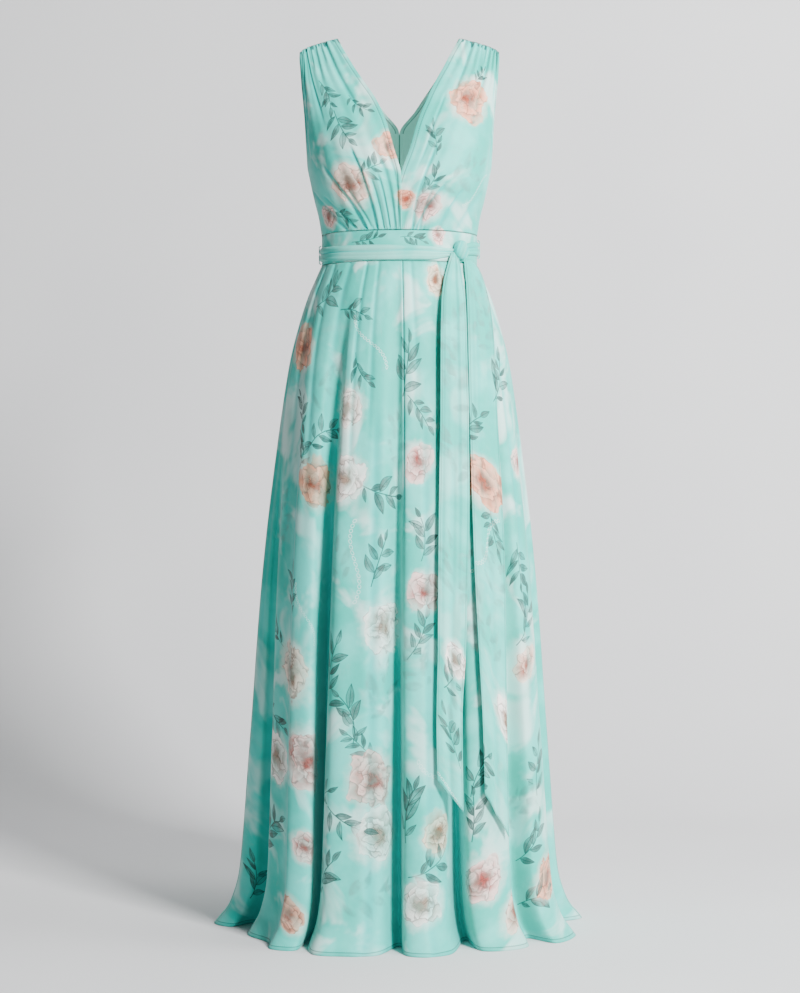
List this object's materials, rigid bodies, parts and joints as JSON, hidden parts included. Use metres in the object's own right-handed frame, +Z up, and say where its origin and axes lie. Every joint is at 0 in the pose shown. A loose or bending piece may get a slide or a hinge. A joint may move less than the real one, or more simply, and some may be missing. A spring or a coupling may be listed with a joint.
{
  "type": "maxi dress",
  "caption": "Sleeveless floor-length dress with a V neck, gathered shoulders, pleated surplice bodice, waistband, tied sash belt with long tails and a full folded skirt.",
  "frame": {"origin": "midway between the shoulders, at the height where the dress hangs on its wearer", "axes": "+Z up, the front of the dress faces -Y, +X to the right when looking at the front"},
  "size_m": [0.6047, 0.545, 1.4493],
  "materials": {
    "printed_chiffon": "matte crepe chiffon with a soft sheen and a floral print",
    "sash_chiffon": "matte crepe chiffon with a soft sheen, nearly plain",
    "aqua_thread": "twisted polyester thread"
  },
  "bodies": {
    "root": {"bodice_front_right": "printed_chiffon", "bodice_front_left": "printed_chiffon", "bodice_back_right": "printed_chiffon", "bodice_back_left": "printed_chiffon", "waistband_front": "printed_chiffon", "waistband_back_left": "printed_chiffon", "waistband_back_right": "printed_chiffon", "skirt_front": "printed_chiffon", "skirt_back_left": "printed_chiffon", "skirt_back_right": "printed_chiffon", "sash_belt": "sash_chiffon", "sash_knot": "sash_chiffon", "sash_tail_left": "sash_chiffon", "sash_tail_right": "sash_chiffon", "belt_loop_right": "aqua_thread", "belt_loop_left": "aqua_thread"}
  },
  "joints": []
}
